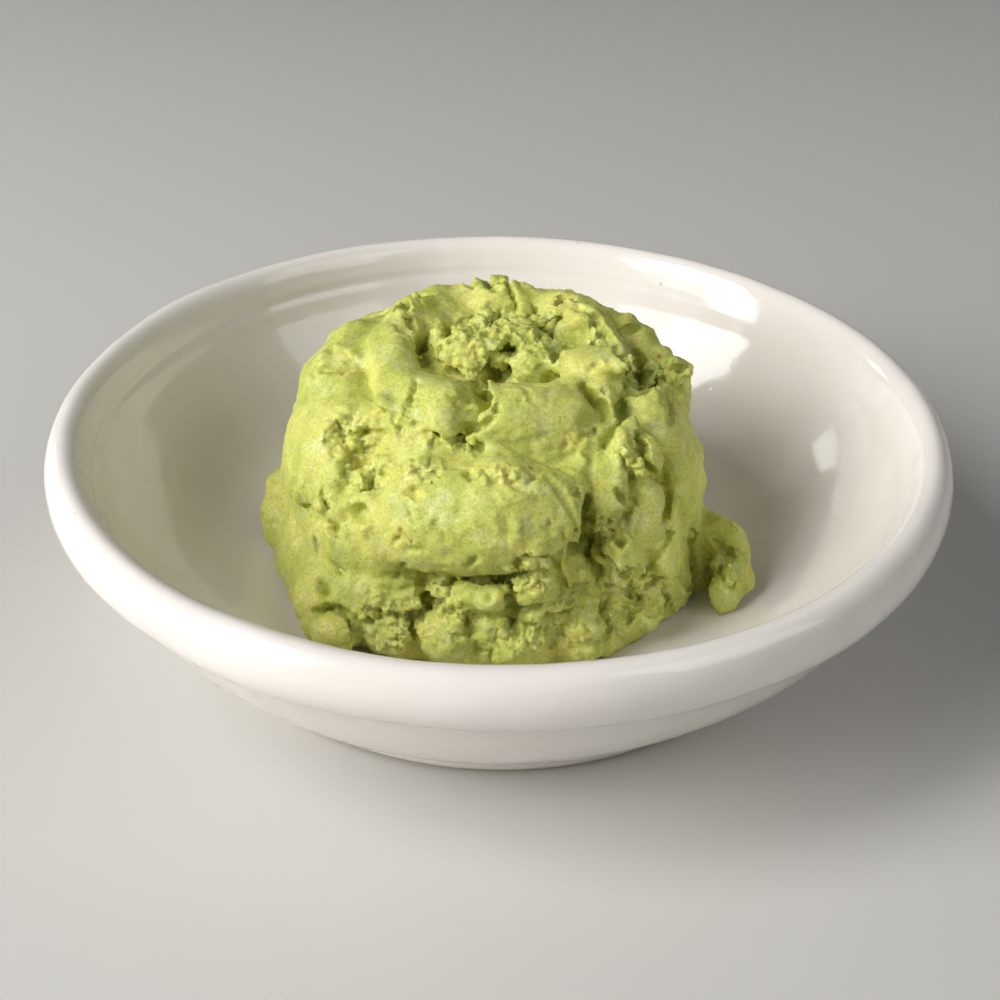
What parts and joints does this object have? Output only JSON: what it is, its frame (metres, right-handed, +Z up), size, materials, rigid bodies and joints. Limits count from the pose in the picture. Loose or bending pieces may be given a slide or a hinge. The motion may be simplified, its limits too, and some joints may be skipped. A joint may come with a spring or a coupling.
{
  "type": "wasabi paste in a small dish",
  "caption": "Mound of grated wasabi paste with a spooned hollow on top, resting in a small round white glazed dish with a rolled rim and a foot ring.",
  "frame": {"origin": "middle of the foot ring's footprint, on the surface that the dish stands on", "axes": "+Z up out of the dish; +X towards the small curl at the mound's side; -Y towards the broad front lobe"},
  "size_m": [0.08, 0.08, 0.0276],
  "materials": {
    "glazed_porcelain": "warm white semi-gloss glaze over porcelain, with a bare foot ring",
    "wasabi_paste": "moist matte grated paste, pale yellow-green, crumbly where it is torn"
  },
  "bodies": {
    "root": {"dish": "glazed_porcelain", "wasabi_paste": "wasabi_paste"}
  },
  "joints": []
}
